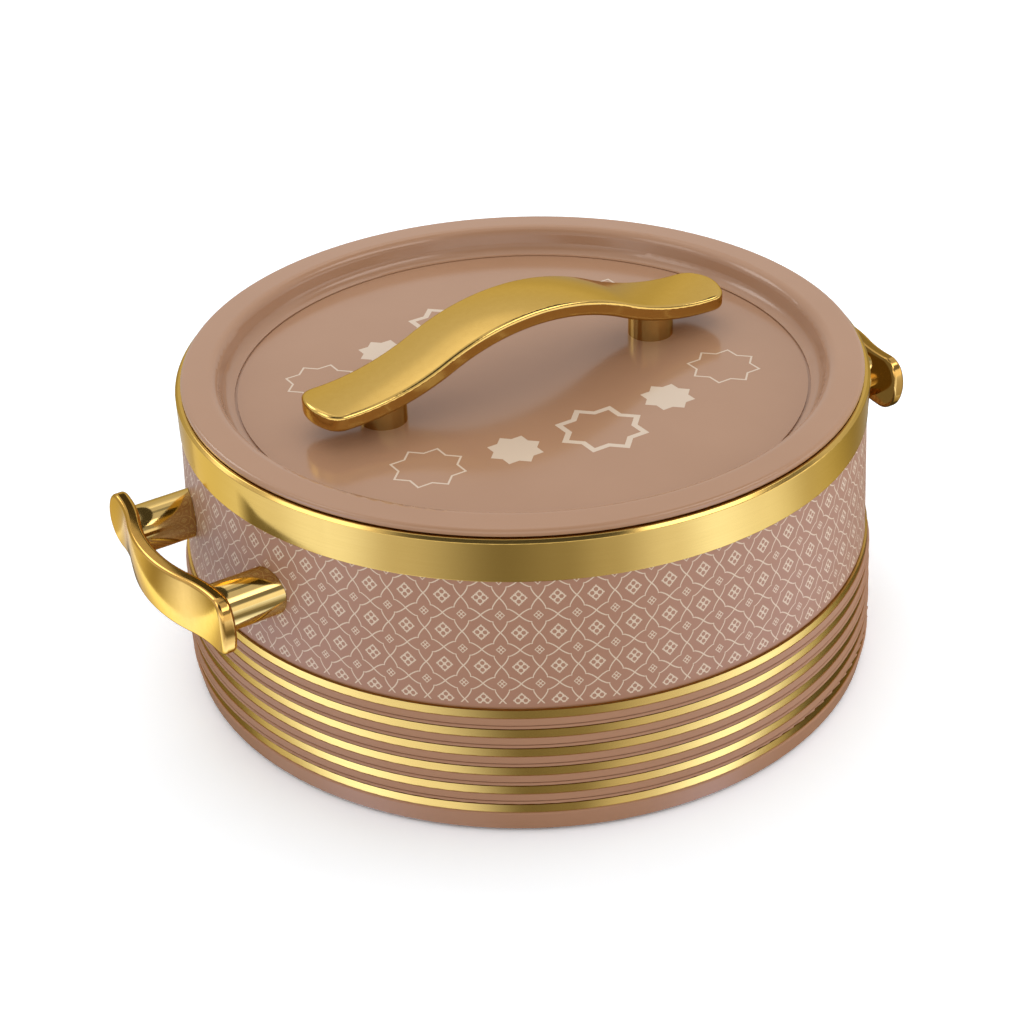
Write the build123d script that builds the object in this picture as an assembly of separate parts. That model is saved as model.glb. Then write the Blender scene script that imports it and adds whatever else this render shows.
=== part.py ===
from build123d import *
import os
from math import cos, radians, sin, sqrt, tan

# An insulated serving casserole: a steel pot foamed into a moulded shell, and a foamed lid that lifts off.
# Millimetres. The origin is on the table under the middle, +Z is up and +X runs along the two side handles.

# Fits that several pieces share
SEAT_GAP = 0.1            # between two pieces that seat on a round face
SCREW_GAP = 0.25          # round a screw's shank in a hole that it passes through
THREAD_GAP = 0.05         # round a screw's shank in the hole that it cuts its thread in
OVERRUN = 4.0             # how far a cutting tool passes the face that it cuts

# Outer shell, a moulded wall that widens towards the table
PARTING_HEIGHT = 130.0    # table to the face that the lid sits on
WALL_FLARE = 2.8          # degrees that the wall leans outwards
SHELL_WALL = 2.4
PLINTH_HEIGHT = 10.2      # table to the lowest gold ring
PLINTH_PROUD = 0.8        # plinth's top edge beyond the rings' faces
PLINTH_TAPER = 1.6        # how much the plinth draws in towards the table
PLINTH_TOP_ROUND = 0.7
PLINTH_FOOT_ROUND = 1.0
LEDGE_HEIGHT = 6.0        # table to the underside of the ledge that the base plate screws to
LEDGE_THICKNESS = 3.5
LEDGE_WIDTH = 13.0
NECK_JOG = 5.0            # height over which the wall steps in below the rim band
BOSS_RADIUS = 11.0        # pads inside the wall, behind the side handles
BOSS_PAD = 1.6            # a pad's thickness where the round wall comes nearest to its flat face

# Ribs and gold rings round the lower body
RING_COUNT = 6
RING_HEIGHT = 4.4
RING_PITCH = 8.7
RING_THICKNESS = 1.4
RING_PROUD = 1.0          # rings' faces beyond the sleeve's line
RING_GAP = 0.85           # open line over a ring's upper edge
RIB_PROUD = 0.9           # rib's lip beyond the rings' faces
RIB_LIP = 1.2             # height of the rounded lip along a rib's lower edge
RIB_CREASE = 0.45         # height of the sharp crease over the lip
RIB_CREASE_SHARE = 0.1    # how far out the crease's bottom is, as a share of the lip
RIB_FACE_SHARE = 0.6      # how far out the rib's face starts over the crease
RIB_EDGE_SHARE = 0.3      # how far out the rib's upper edge is

# Rim band and printed sleeve
BAND_RADIUS = 143.4       # the body's size: every round piece is set in or out from here
BAND_PROUD = 0.4          # band beyond the sleeve's upper edge
BAND_HEIGHT = 17.5
BAND_WALL = 2.0
BAND_WEB = 3.0            # thickness of the band's top, over the pot's flange
BAND_BEVEL = 1.2
BAND_EDGE_ROUND = 0.5
SLEEVE_THICKNESS = 0.5

# Steel pot
RIM_WIDTH = 13.4          # band's face to the pot's mouth
POT_SHEET = 0.8
POT_DRAFT = 2.5           # degrees
POT_FLOOR_HEIGHT = 20.0
POT_CORNER_ROUND = 18.0
POT_NECK_ROUND = 2.5
POT_LEDGE = 2.5           # flange that shows inside the rim band

# Base plate, its screws and the feet
PLATE_THICKNESS = 2.6
BASE_SCREW_COUNT = 4
BASE_SCREW_SHANK = 1.9
BASE_SCREW_HEAD = 3.6
BASE_SCREW_HEAD_HEIGHT = 1.8
BASE_SCREW_GRIP = 3.0     # how far a screw goes into the ledge
FOOT_PROUD = 1.2          # feet below the plinth
FOOT_COUNT = 4
FOOT_RADIUS = 9.0
FOOT_RECESS = 1.0
FOOT_INSET = 29.2         # shell's inside to a foot's middle
FOOT_ROUND = 1.0

# Lid
LID_INSET = 2.4           # band's face to the lid's edge
LID_RIM_HEIGHT = 3.0      # rim's top above the parting face
LID_EDGE_ROUND_SHARE = 0.7  # how much of the edge's height its rounding takes
LID_SHADOW_GAP = 0.5      # open line between the rim and the band
LID_SHADOW_DEPTH = 2.2
LID_RIM_WIDTH = 14.5      # lid's edge to the lip where the rim turns down into the dish
LID_LIP_ROUND = 4.5
LID_DISH_RUN = 3.0        # lip to where the dish meets the flat panel
LID_PANEL_DEPTH = 11.2    # rim's top to the panel
LID_COVE_ROUND = 5.5
LID_PANEL_WALL = 2.6
LID_LINE_INSET = 4.3      # fine groove round the panel, in from where the dish meets it
LID_LINE_WIDTH = 1.1
LID_LINE_DEPTH = 0.8
PLUG_CLEARANCE = 2.2      # lid's plug to the pot's mouth
PLUG_DEPTH = 22.0         # plug below the parting face
PLUG_WALL = 2.4
SEAL_HEIGHT = 4.0
SEAL_DROP = 7.0           # parting face to the top of the seal's groove
SEAL_GROOVE_DEPTH = 1.4
SEAL_TO_POT = 0.4
LINER_SHEET = 0.7
LINER_RETURN = 5.0        # height of the liner's upturned edge
LINER_ROUND = 2.0

# Lid handle, a bar on two posts
LID_BAR_END_GAP = 24.0    # bar's end to where the dish meets the panel
LID_BAR_STEEPEST_SHARE = 0.412  # how far along its half length the bar slopes most
LID_BAR_LEVEL_SHARE = 0.91      # how far along it runs level again
LID_BAR_SLOPE = 25.0      # degrees at the steepest place
LID_BAR_THICKNESS = 6.4
LID_BAR_CROWN = 1.4
LID_BAR_MID_WIDTH = 31.5
LID_BAR_END_WIDTH = 29.5
LID_BAR_END_ROUND = 24.0
LID_BAR_CORNER_ROUND = 8.0
LID_BAR_EDGE_ROUND = 1.7
LID_POST_INSET = 33.0     # bar's end to a post's middle
LID_POST_RADIUS = 9.7
LID_POST_HEIGHT = 11.2    # panel to the bar's underside at the post's middle
LID_SCREW_SHANK = 2.5
LID_SCREW_HEAD = 4.7
LID_SCREW_HEAD_HEIGHT = 3.0
LID_WASHER_RADIUS = 7.0
LID_WASHER_THICKNESS = 1.2

# Side handles, the same kind of bar standing on edge
SIDE_BAR_HALF_LENGTH = 53.5
SIDE_BAR_STEEPEST_SHARE = 0.467
SIDE_BAR_LEVEL_SHARE = 0.87
SIDE_BAR_SLOPE = 19.0
SIDE_BAR_THICKNESS = 5.2
SIDE_BAR_CROWN = 1.0
SIDE_BAR_MID_WIDTH = 24.0
SIDE_BAR_END_WIDTH = 25.0
SIDE_BAR_END_ROUND = 20.0
SIDE_BAR_CORNER_ROUND = 8.0
SIDE_BAR_EDGE_ROUND = 1.6
SIDE_BAR_STANDOFF = 25.2  # sleeve to the bar's inner face at its crest
SIDE_BAR_HEIGHT_SHARE = 0.52    # how far up the sleeve the bar's middle is
SIDE_POST_INSET = 18.5    # bar's end to a post's middle
SIDE_POST_RADIUS = 10.0
SIDE_SCREW_SHANK = 3.0
SIDE_SCREW_HEAD = 5.5
SIDE_SCREW_HEAD_HEIGHT = 3.0
SIDE_WASHER_RADIUS = 9.0
SIDE_WASHER_THICKNESS = 1.2

BAR_SCREW_DEPTH = 4.0     # how far a handle's screw goes into its bar
SCREW_SLOT_SHARE = 0.2    # a cross slot's width, as a share of the head's radius
FOAM_POCKET_GAP = 1.0     # round the screw heads inside the foam

# Heights and radii that follow from the sizes above
ring_tops = [PLINTH_HEIGHT + RING_HEIGHT + step * RING_PITCH for step in range(RING_COUNT)]
sleeve_bottom = ring_tops[-1]
sleeve_top = PARTING_HEIGHT - BAND_HEIGHT
sleeve_top_radius = BAND_RADIUS - BAND_PROUD
flange_top = PARTING_HEIGHT - BAND_WEB
shell_top = flange_top - POT_SHEET
band_skirt_radius = BAND_RADIUS - BAND_WALL
neck_radius = band_skirt_radius - SEAT_GAP
pot_mouth = BAND_RADIUS - RIM_WIDTH
rim_top = PARTING_HEIGHT + LID_RIM_HEIGHT
panel_top = rim_top - LID_PANEL_DEPTH
panel_under = panel_top - LID_PANEL_WALL
lid_radius = BAND_RADIUS - LID_INSET
lip_radius = lid_radius - LID_RIM_WIDTH
panel_radius = lip_radius - LID_DISH_RUN
plug_radius = pot_mouth - PLUG_CLEARANCE
plug_bottom = PARTING_HEIGHT - PLUG_DEPTH
plug_bore = plug_radius - PLUG_WALL
plate_bottom = LEDGE_HEIGHT - PLATE_THICKNESS


def line_radius(height):
    """Radius of the sleeve's face at a height, carried on down to the table."""
    return sleeve_top_radius + (sleeve_top - height) * tan(radians(WALL_FLARE))


def ring_radius(height):
    """Radius of the gold rings' faces at a height."""
    return line_radius(height) + RING_PROUD


def bore_radius(height):
    """Radius of the shell's inside at a height."""
    return line_radius(height) - SLEEVE_THICKNESS - SEAT_GAP - SHELL_WALL


def pot_radius(height):
    """Radius of the pot's inside at a height."""
    return pot_mouth - (flange_top - height) * tan(radians(POT_DRAFT))


def section(start, *steps):
    """Closed face of (radius, height) points; a step that is a pair of points is an arc's middle and end."""
    edges = []
    here = start
    for step in [*steps, start]:
        points = [here, *step] if isinstance(step[0], tuple) else [here, step]
        curve = ThreePointArc if len(points) == 3 else Line
        edges.append(curve(*((radius, 0, height) for radius, height in points)))
        here = points[-1]
    return make_face(Wire(edges)).face()


def rounded(face, *corners):
    """The face with each (point, radius) corner rounded."""
    for (radius, height), round_radius in corners:
        place = Vector(radius, 0, height)
        corner = min(face.vertices(), key=lambda vertex: (Vector(*vertex) - place).length)
        face = face.fillet_2d(round_radius, [corner])
    return face


def turned(face):
    """Solid of revolution about the body's axis."""
    return revolve(face, Axis.Z).solid()


def rod(radius, low, high):
    """Upright round rod between two heights."""
    return Pos(0, 0, low) * Cylinder(radius, high - low, align=(Align.CENTER, Align.CENTER, Align.MIN))


def ring(radius, bore, low, high):
    """Upright round ring between two heights."""
    return rod(radius, low, high) - rod(bore, low - OVERRUN, high + OVERRUN)


def pan_screw(shank, head, head_height, length):
    """Pan-head screw standing on its head's seat at the origin, with a cross slot in the head."""
    screw = rod(head, -head_height, 0) + rod(shank, 0, length)
    rim = screw.edges().filter_by(GeomType.CIRCLE).sort_by(Axis.Z)[0]
    screw = fillet(rim, head_height / 2)
    slot_size = (head, head * SCREW_SLOT_SHARE, head_height)
    for turn in (0, 90):
        screw -= Pos(0, 0, -head_height) * Rot(0, 0, turn) * Box(*slot_size)
    return screw.solid()


def wave(half_length, steepest_share, level_share, slope):
    """A bar's underside: its height at a distance from the middle, zero at the crest, and its three arcs."""
    steepest = half_length * steepest_share
    level = half_length * level_share
    rise = sin(radians(slope))
    arch_radius = steepest / rise
    dip_radius = (level - steepest) / rise
    dip_centre = dip_radius - (arch_radius + dip_radius) * (1 - cos(radians(slope)))

    def underside(along):
        if abs(along) <= steepest:
            return sqrt(arch_radius**2 - along**2) - arch_radius
        return dip_centre - sqrt(dip_radius**2 - (abs(along) - level) ** 2)

    def arcs():
        reach = half_length + OVERRUN
        stops = (-reach, -steepest, steepest, reach)
        spans = zip(stops, stops[1:])
        return [ThreePointArc(*((x, 0, underside(x)) for x in (a, (a + b) / 2, b))) for a, b in spans]

    return underside, arcs()


def wave_bar(
    half_length, wave_arcs, thickness, crown, mid_width, end_width, end_round, corner_round, edge_round
):
    """Bar that arches over its middle and levels out in paddle ends, with its underside's crest at zero."""
    path = Wire(wave_arcs)
    across = Plane(origin=path @ 0, x_dir=(0, 1, 0), z_dir=path % 0)
    half = end_width / 2 + edge_round
    outline = Polyline((-half, thickness), (-half, 0), (half, 0), (half, thickness))
    top = ThreePointArc((half, thickness), (0, thickness + crown), (-half, thickness))
    bar = sweep(across * make_face(Wire([*outline.edges(), *top.edges()])), path=path)

    shoulder = half_length - end_round + sqrt(end_round**2 - (end_width / 2) ** 2)
    low_left, low_right = (-shoulder, -end_width / 2), (shoulder, -end_width / 2)
    high_left, high_right = (-shoulder, end_width / 2), (shoulder, end_width / 2)
    plan = make_face(
        Wire(
            [
                ThreePointArc(low_left, (0, -mid_width / 2), low_right),
                ThreePointArc(low_right, (half_length, 0), high_right),
                ThreePointArc(high_right, (0, mid_width / 2), high_left),
                ThreePointArc(high_left, (-half_length, 0), low_left),
            ]
        )
    )
    plan = plan.face().fillet_2d(corner_round, plan.vertices())
    bar = bar & extrude(plan, half_length, both=True)

    walls = bar.faces().filter_by(lambda face: abs(face.normal_at(face.center()).Z) < sin(radians(1)))
    rims = [edge for wall in walls for edge in wall.edges() if abs((edge % 0.5).Z) < cos(radians(45))]
    return fillet(rims, edge_round).solid()


def above_underside(wave_arcs, width, height):
    """Everything over a bar's underside, for cutting its posts to fit."""
    first, last = Wire(wave_arcs) @ 0, Wire(wave_arcs) @ 1
    lid = Polyline(last, (last.X, 0, height), (first.X, 0, height), first)
    return extrude(make_face(Wire([*wave_arcs, *lid.edges()])), width, both=True)


def outer_shell():
    """Moulded wall with plinth, ring grooves, ribs, a recess for the sleeve, a neck and an inner ledge."""
    plinth_radius = ring_radius(PLINTH_HEIGHT) + PLINTH_PROUD
    foot_radius = plinth_radius - PLINTH_TAPER
    path = [(foot_radius, FOOT_PROUD), (plinth_radius, PLINTH_HEIGHT)]
    for top in ring_tops:
        bottom = top - RING_HEIGHT
        path.append((ring_radius(bottom) - RING_THICKNESS, bottom))
        path.append((ring_radius(top) - RING_THICKNESS, top))
        if top < sleeve_bottom:
            lip_top = top + RIB_LIP
            face_low = lip_top + RIB_CREASE
            face_high = bottom + RING_PITCH
            crease = RIB_PROUD * RIB_CREASE_SHARE
            nose = (ring_radius(top) + RIB_PROUD, (top + lip_top) / 2)
            path.append((ring_radius(top) + crease, top))
            path.append((nose, (ring_radius(lip_top) + crease, lip_top)))
            path.append((ring_radius(face_low) + RIB_PROUD * RIB_FACE_SHARE, face_low))
            path.append((ring_radius(face_high) + RIB_PROUD * RIB_EDGE_SHARE, face_high))
    recess = SLEEVE_THICKNESS + SEAT_GAP
    jog_low = sleeve_top - NECK_JOG
    ledge_top = LEDGE_HEIGHT + LEDGE_THICKNESS
    ledge_radius = bore_radius(LEDGE_HEIGHT) - LEDGE_WIDTH
    path += [
        (line_radius(sleeve_bottom) - recess, sleeve_bottom),
        (line_radius(sleeve_top) - recess, sleeve_top),
        (neck_radius, sleeve_top),
        (neck_radius, shell_top),
        (neck_radius - SHELL_WALL, shell_top),
        (neck_radius - SHELL_WALL, sleeve_top),
        (bore_radius(jog_low), jog_low),
        (bore_radius(ledge_top), ledge_top),
        (ledge_radius, ledge_top),
        (ledge_radius, LEDGE_HEIGHT),
        (bore_radius(LEDGE_HEIGHT), LEDGE_HEIGHT),
    ]
    face = section((bore_radius(LEDGE_HEIGHT), FOOT_PROUD), *path)
    face = rounded(
        face,
        ((foot_radius, FOOT_PROUD), PLINTH_FOOT_ROUND),
        ((plinth_radius, PLINTH_HEIGHT), PLINTH_TOP_ROUND),
    )
    shell = turned(face)
    inside = rod(bore_radius(sleeve_bottom), LEDGE_HEIGHT, shell_top)
    for place in side_post_places():
        boss = place * rod(BOSS_RADIUS, boss_flat - side_reach, 0)
        shell += boss & inside
        shell -= place * rod(SIDE_SCREW_SHANK + SCREW_GAP, -side_reach / 2, 0)
    for place in base_screw_places():
        shell -= place * rod(BASE_SCREW_SHANK + THREAD_GAP, 0, PLATE_THICKNESS + BASE_SCREW_GRIP)
    return shell.solid()


def printed_sleeve():
    """Printed film that wraps the wall between the ribs and the rim band."""
    low, high = line_radius(sleeve_bottom), line_radius(sleeve_top)
    sleeve = turned(
        section(
            (low - SLEEVE_THICKNESS, sleeve_bottom),
            (low, sleeve_bottom),
            (high, sleeve_top),
            (high - SLEEVE_THICKNESS, sleeve_top),
        )
    )
    for place in side_post_places():
        sleeve -= place * rod(SIDE_SCREW_SHANK + SCREW_GAP, -side_reach / 2, 0)
    return sleeve.solid()


def rim_band():
    """Plated band round the shell's neck that turns in over the pot's flange, with a bevelled top edge."""
    mouth = pot_mouth + POT_LEDGE
    bevel_low = (BAND_RADIUS, PARTING_HEIGHT - BAND_BEVEL)
    bevel_high = (BAND_RADIUS - BAND_BEVEL, PARTING_HEIGHT)
    face = section(
        (band_skirt_radius, sleeve_top),
        (BAND_RADIUS, sleeve_top),
        bevel_low,
        bevel_high,
        (mouth, PARTING_HEIGHT),
        (mouth, flange_top),
        (band_skirt_radius, flange_top),
    )
    corners = ((BAND_RADIUS, sleeve_top), bevel_low, bevel_high, (mouth, PARTING_HEIGHT))
    return turned(rounded(face, *((corner, BAND_EDGE_ROUND) for corner in corners)))


def gold_ring(top):
    """Plated ring that lies in its groove below a rib."""
    bottom = top - RING_HEIGHT
    edge = top - RING_GAP
    seat = RING_THICKNESS - SEAT_GAP
    return turned(
        section(
            (ring_radius(bottom) - seat, bottom),
            (ring_radius(bottom), bottom),
            (ring_radius(edge), edge),
            (ring_radius(edge) - seat, edge),
        )
    )


def pot_outline(grow):
    """Section of the space inside the pot, grown outwards, with its bottom corner rounded."""
    floor = POT_FLOOR_HEIGHT - grow
    corner = (pot_radius(POT_FLOOR_HEIGHT) + grow, floor)
    mouth = (pot_mouth + grow, flange_top)
    face = section((0, floor), corner, mouth, (0, flange_top))
    return rounded(face, (corner, POT_CORNER_ROUND + grow))


def inner_pot():
    """Drawn steel pot with a rounded brim and a flat flange."""
    corner = (pot_radius(POT_FLOOR_HEIGHT), POT_FLOOR_HEIGHT)
    brim = (pot_mouth, flange_top)
    brim_under = (pot_mouth + POT_SHEET, shell_top)
    corner_under = (corner[0] + POT_SHEET, POT_FLOOR_HEIGHT - POT_SHEET)
    face = section(
        (0, POT_FLOOR_HEIGHT),
        corner,
        brim,
        (neck_radius, flange_top),
        (neck_radius, shell_top),
        brim_under,
        corner_under,
        (0, POT_FLOOR_HEIGHT - POT_SHEET),
    )
    return turned(
        rounded(
            face,
            (corner, POT_CORNER_ROUND),
            (brim, POT_NECK_ROUND),
            (brim_under, POT_NECK_ROUND - POT_SHEET),
            (corner_under, POT_CORNER_ROUND + POT_SHEET),
        )
    )


def pot_insulation():
    """Foam between the pot and the shell, with pockets for the handle screws."""
    ledge_top = LEDGE_HEIGHT + LEDGE_THICKNESS
    ledge_radius = bore_radius(LEDGE_HEIGHT) - LEDGE_WIDTH - SEAT_GAP
    jog_low = sleeve_top - NECK_JOG
    foam_top = shell_top - POT_NECK_ROUND
    foam = turned(
        section(
            (0, LEDGE_HEIGHT),
            (ledge_radius, LEDGE_HEIGHT),
            (ledge_radius, ledge_top),
            (bore_radius(ledge_top) - SEAT_GAP, ledge_top),
            (bore_radius(jog_low) - SEAT_GAP, jog_low),
            (neck_radius - SHELL_WALL - SEAT_GAP, sleeve_top),
            (neck_radius - SHELL_WALL - SEAT_GAP, foam_top),
            (0, foam_top),
        )
    )
    foam -= turned(pot_outline(POT_SHEET + SEAT_GAP))
    pocket = SIDE_WASHER_THICKNESS + SIDE_SCREW_HEAD_HEIGHT + FOAM_POCKET_GAP
    for place in side_post_places():
        foam -= place * rod(BOSS_RADIUS + SEAT_GAP, boss_flat - side_reach, 0)
        foam -= place * rod(
            SIDE_WASHER_RADIUS + FOAM_POCKET_GAP, boss_flat - side_reach - pocket, boss_flat - side_reach
        )
    return foam.solid()


def base_screw_places():
    """Where the base plate's screws stand, heads down against the plate."""
    circle = bore_radius(LEDGE_HEIGHT) - LEDGE_WIDTH / 2
    return [
        Rot(0, 0, 360 * (index + 0.5) / BASE_SCREW_COUNT) * Pos(circle, 0, plate_bottom)
        for index in range(BASE_SCREW_COUNT)
    ]


def foot_places():
    """Where the feet stand on the table."""
    circle = bore_radius(LEDGE_HEIGHT) - FOOT_INSET
    return [Rot(0, 0, 360 * (index + 0.5) / FOOT_COUNT) * Pos(circle, 0, 0) for index in range(FOOT_COUNT)]


def base_plate():
    """Round plate that closes the shell from below, with recesses for the feet."""
    plate = rod(bore_radius(LEDGE_HEIGHT) - SEAT_GAP, plate_bottom, LEDGE_HEIGHT)
    for place in base_screw_places():
        plate -= place * rod(BASE_SCREW_SHANK + SCREW_GAP, -OVERRUN, PLATE_THICKNESS + OVERRUN)
    for place in foot_places():
        plate -= place * rod(FOOT_RADIUS + SEAT_GAP, 0, plate_bottom + FOOT_RECESS)
    return plate.solid()


def base_screws():
    """Screws that hold the base plate to the shell's ledge."""
    length = PLATE_THICKNESS + BASE_SCREW_GRIP
    screw = pan_screw(BASE_SCREW_SHANK, BASE_SCREW_HEAD, BASE_SCREW_HEAD_HEIGHT, length)
    return [place * screw for place in base_screw_places()]


def rubber_feet():
    """Soft pads glued into the base plate."""
    foot = rod(FOOT_RADIUS, 0, plate_bottom + FOOT_RECESS)
    foot = fillet(foot.edges().filter_by(GeomType.CIRCLE).sort_by(Axis.Z)[0], FOOT_ROUND)
    return [place * foot.solid() for place in foot_places()]


lid_half = panel_radius - LID_BAR_END_GAP
lid_post_offset = lid_half - LID_POST_INSET
lid_wave, lid_arcs = wave(lid_half, LID_BAR_STEEPEST_SHARE, LID_BAR_LEVEL_SHARE, LID_BAR_SLOPE)
lid_crest = panel_top + LID_POST_HEIGHT - lid_wave(lid_post_offset)

side_height = sleeve_bottom + (sleeve_top - sleeve_bottom) * SIDE_BAR_HEIGHT_SHARE
side_reach = line_radius(side_height) + SIDE_BAR_STANDOFF
side_post_offset = SIDE_BAR_HALF_LENGTH - SIDE_POST_INSET
side_wave, side_arcs = wave(
    SIDE_BAR_HALF_LENGTH, SIDE_BAR_STEEPEST_SHARE, SIDE_BAR_LEVEL_SHARE, SIDE_BAR_SLOPE
)
boss_flat = sqrt(bore_radius(side_height) ** 2 - (side_post_offset + BOSS_RADIUS) ** 2) - BOSS_PAD
side_planes = {
    "left": Plane(origin=(-side_reach, 0, side_height), x_dir=(0, -1, 0), z_dir=(-1, 0, 0)),
    "right": Plane(origin=(side_reach, 0, side_height), x_dir=(0, 1, 0), z_dir=(1, 0, 0)),
}


def side_post_places():
    """Frame of each side post: Z points out from the body, and zero is level with the bar's crest."""
    ends = (-side_post_offset, side_post_offset)
    return [plane.location * Pos(end, 0, 0) for plane in side_planes.values() for end in ends]


def side_bar(side):
    """Side handle's bar, standing on edge, with blind holes for its screws."""
    bar = wave_bar(
        SIDE_BAR_HALF_LENGTH,
        side_arcs,
        SIDE_BAR_THICKNESS,
        SIDE_BAR_CROWN,
        SIDE_BAR_MID_WIDTH,
        SIDE_BAR_END_WIDTH,
        SIDE_BAR_END_ROUND,
        SIDE_BAR_CORNER_ROUND,
        SIDE_BAR_EDGE_ROUND,
    )
    seat = side_wave(side_post_offset)
    for end in (-1, 1):
        hole = rod(SIDE_SCREW_SHANK + THREAD_GAP, seat - OVERRUN, seat + BAR_SCREW_DEPTH)
        bar -= Pos(end * side_post_offset, 0, 0) * hole
    return (side_planes[side].location * bar).solid()


def side_post(side, end):
    """Round post between the wall and a side bar, cut to the sleeve at one end and the bar at the other."""
    post = Pos(end * side_post_offset, 0, 0) * ring(
        SIDE_POST_RADIUS, SIDE_SCREW_SHANK + SCREW_GAP, -side_reach / 2, OVERRUN
    )
    post -= above_underside(side_arcs, SIDE_BAR_END_WIDTH, SIDE_BAR_END_WIDTH)
    post = side_planes[side].location * post
    low, high = sleeve_bottom, sleeve_top
    body = section(
        (0, low), (line_radius(low) + SEAT_GAP, low), (line_radius(high) + SEAT_GAP, high), (0, high)
    )
    return (post - turned(body)).solid()


def side_screw_length():
    """From a washer's face, through the wall and a post, into the bar."""
    reach = side_reach + side_wave(side_post_offset) + BAR_SCREW_DEPTH
    return reach - boss_flat + SIDE_WASHER_THICKNESS - SCREW_GAP


def side_screws():
    """Screws that hold the side handles from inside the wall."""
    screw = pan_screw(SIDE_SCREW_SHANK, SIDE_SCREW_HEAD, SIDE_SCREW_HEAD_HEIGHT, side_screw_length())
    seat = boss_flat - side_reach - SIDE_WASHER_THICKNESS
    return [place * Pos(0, 0, seat) * screw for place in side_post_places()]


def side_washers():
    """Washers under the side screws' heads."""
    low = boss_flat - side_reach - SIDE_WASHER_THICKNESS
    washer = ring(SIDE_WASHER_RADIUS, SIDE_SCREW_SHANK + SCREW_GAP, low, low + SIDE_WASHER_THICKNESS)
    return [place * washer.solid() for place in side_post_places()]


def lid_post_places():
    """Frame of each lid post, with zero on the panel."""
    return {"left": Pos(-lid_post_offset, 0, panel_top), "right": Pos(lid_post_offset, 0, panel_top)}


def lid_shell():
    """Moulded lid: a flat rim, a dished panel, and a plug that drops into the pot's mouth."""
    edge_low = PARTING_HEIGHT + LID_SHADOW_GAP
    seat_radius = lid_radius - LID_SHADOW_DEPTH
    groove_top = PARTING_HEIGHT - SEAL_DROP
    groove_bottom = groove_top - SEAL_HEIGHT
    groove_radius = plug_radius - SEAL_GROOVE_DEPTH
    dish_corner = (panel_radius, panel_top)
    lip_corner = (lip_radius, rim_top)
    edge_corner = (lid_radius, rim_top)
    face = section(
        (0, panel_under),
        (plug_bore, panel_under),
        (plug_bore, plug_bottom),
        (plug_radius, plug_bottom),
        (plug_radius, groove_bottom),
        (groove_radius, groove_bottom),
        (groove_radius, groove_top),
        (plug_radius, groove_top),
        (plug_radius, PARTING_HEIGHT),
        (seat_radius, PARTING_HEIGHT),
        (seat_radius, edge_low),
        (lid_radius, edge_low),
        edge_corner,
        lip_corner,
        dish_corner,
        (0, panel_top),
    )
    face = rounded(
        face,
        (edge_corner, (rim_top - edge_low) * LID_EDGE_ROUND_SHARE),
        (lip_corner, LID_LIP_ROUND),
        (dish_corner, LID_COVE_ROUND),
    )
    lid = turned(face)
    groove_middle = panel_radius - LID_LINE_INSET
    lid -= ring(
        groove_middle + LID_LINE_WIDTH / 2,
        groove_middle - LID_LINE_WIDTH / 2,
        panel_top - LID_LINE_DEPTH,
        panel_top + LID_LINE_DEPTH,
    )
    for place in lid_post_places().values():
        lid -= place * rod(LID_SCREW_SHANK + SCREW_GAP, -LID_PANEL_WALL - OVERRUN, OVERRUN)
    return lid.solid()


def lid_liner():
    """Steel tray pressed into the plug, which closes the lid from below."""
    outer = plug_bore - SEAT_GAP
    tray = rod(outer, plug_bottom, plug_bottom + LINER_RETURN)
    tray = fillet(tray.edges().filter_by(GeomType.CIRCLE).sort_by(Axis.Z)[0], LINER_ROUND)
    hollow = rod(outer - LINER_SHEET, plug_bottom + LINER_SHEET, plug_bottom + LINER_RETURN + OVERRUN)
    hollow = fillet(hollow.edges().filter_by(GeomType.CIRCLE).sort_by(Axis.Z)[0], LINER_ROUND - LINER_SHEET)
    return (tray - hollow).solid()


def lid_insulation():
    """Foam between the lid's panel and its liner, with pockets for the handle screws."""
    floor = plug_bottom + LINER_SHEET
    foam = rod(plug_bore - LINER_SHEET - SEAT_GAP - SEAT_GAP, floor, panel_under)
    foam = fillet(foam.edges().filter_by(GeomType.CIRCLE).sort_by(Axis.Z)[0], LINER_ROUND)
    pocket = LID_WASHER_THICKNESS + LID_SCREW_HEAD_HEIGHT + FOAM_POCKET_GAP
    for place in lid_post_places().values():
        under = place * Pos(0, 0, -LID_PANEL_WALL)
        foam -= under * rod(LID_WASHER_RADIUS + FOAM_POCKET_GAP, -pocket, OVERRUN)
    return foam.solid()


def lid_seal():
    """Soft ring in the plug's groove, just clear of the pot."""
    top = PARTING_HEIGHT - SEAL_DROP
    bottom = top - SEAL_HEIGHT
    bulge_radius = pot_radius(bottom) - SEAL_TO_POT
    inner = plug_radius - SEAL_GROOVE_DEPTH + SEAT_GAP
    bulge = (bulge_radius, (top + bottom) / 2)
    return turned(section((inner, bottom), (plug_radius, bottom), (bulge, (plug_radius, top)), (inner, top)))


def lid_bar():
    """Lid handle's bar, with blind holes for its screws."""
    bar = wave_bar(
        lid_half,
        lid_arcs,
        LID_BAR_THICKNESS,
        LID_BAR_CROWN,
        LID_BAR_MID_WIDTH,
        LID_BAR_END_WIDTH,
        LID_BAR_END_ROUND,
        LID_BAR_CORNER_ROUND,
        LID_BAR_EDGE_ROUND,
    )
    seat = lid_wave(lid_post_offset)
    for end in (-1, 1):
        hole = rod(LID_SCREW_SHANK + THREAD_GAP, seat - OVERRUN, seat + BAR_SCREW_DEPTH)
        bar -= Pos(end * lid_post_offset, 0, 0) * hole
    return (Pos(0, 0, lid_crest) * bar).solid()


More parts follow.
